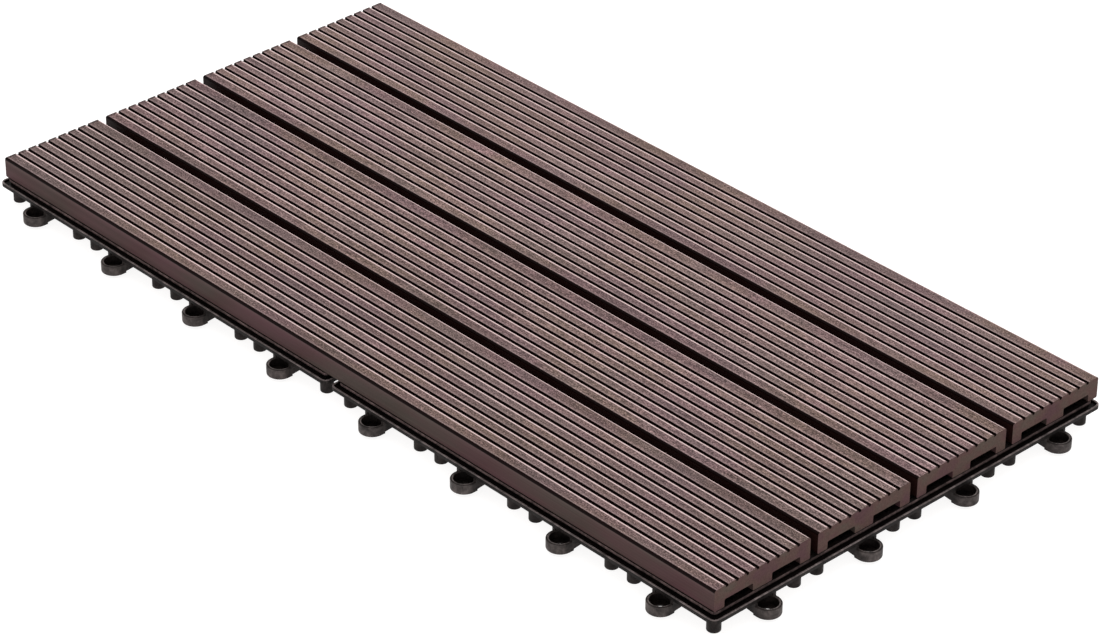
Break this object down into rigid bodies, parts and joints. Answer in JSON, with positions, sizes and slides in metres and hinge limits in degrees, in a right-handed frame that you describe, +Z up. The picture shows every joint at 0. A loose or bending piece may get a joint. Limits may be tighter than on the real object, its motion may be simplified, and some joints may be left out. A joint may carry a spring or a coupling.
{
  "type": "interlocking deck tile",
  "caption": "Rectangular interlocking deck tile: ribbed wood-composite slats screwed to black plastic grid bases with joining loops and tabs along the edges.",
  "frame": {"origin": "middle of the tile's footprint, loops included, on the ground under the feet", "axes": "+X along the slats towards the end that has loops, +Y towards the long side without loops, +Z up to the walking surface"},
  "size_m": [0.6054, 0.3054, 0.028],
  "materials": {
    "slat_composite": "brushed, matt",
    "base_plastic": "fine moulded grain, matt",
    "screw_steel": "zinc plated"
  },
  "bodies": {
    "root": {"deck_slat_1": "slat_composite", "deck_slat_2": "slat_composite", "deck_slat_3": "slat_composite", "deck_slat_4": "slat_composite", "base_left": "base_plastic", "base_right": "base_plastic", "slat_1_screws": "screw_steel", "slat_2_screws": "screw_steel", "slat_3_screws": "screw_steel", "slat_4_screws": "screw_steel"}
  },
  "joints": []
}
